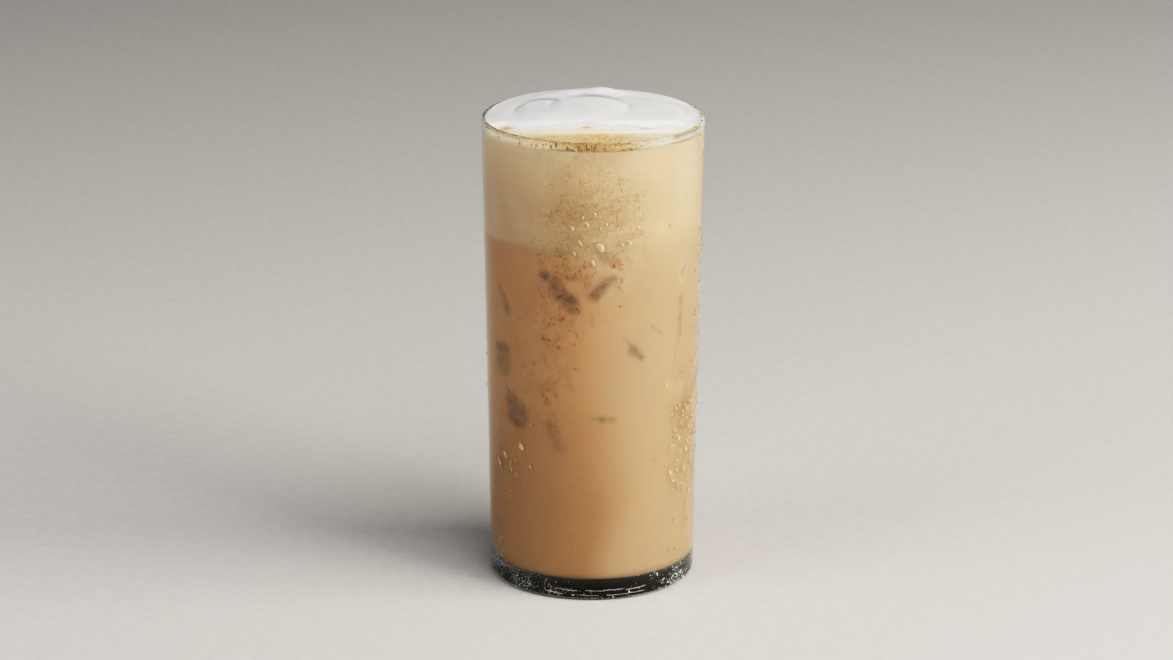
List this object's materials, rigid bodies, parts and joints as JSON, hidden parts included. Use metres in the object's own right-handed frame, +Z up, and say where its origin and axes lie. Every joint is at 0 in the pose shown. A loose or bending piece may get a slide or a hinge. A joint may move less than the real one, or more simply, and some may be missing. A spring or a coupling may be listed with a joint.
{
  "type": "iced cappuccino in a cooler glass",
  "caption": "Iced milk coffee in a straight-sided, heavy-based glass, with paler froth above the coffee and a soft white milk foam cap that leaves a crescent of froth bare at the front.",
  "frame": {"origin": "centre of the foot ring, on the surface that the glass stands on", "axes": "+Z up along the glass, -Y towards the side where the froth shows in front of the foam, +X to the right seen from there"},
  "size_m": [0.0728, 0.0728, 0.1592],
  "materials": {
    "clear_glass": "clear, polished",
    "milk_coffee": "opaque milky liquid",
    "froth": "fine wet froth",
    "foam": "smooth fine foam"
  },
  "bodies": {
    "root": {"glass": "clear_glass", "iced_coffee": "milk_coffee", "coffee_froth": "froth", "milk_foam": "foam"}
  },
  "joints": []
}
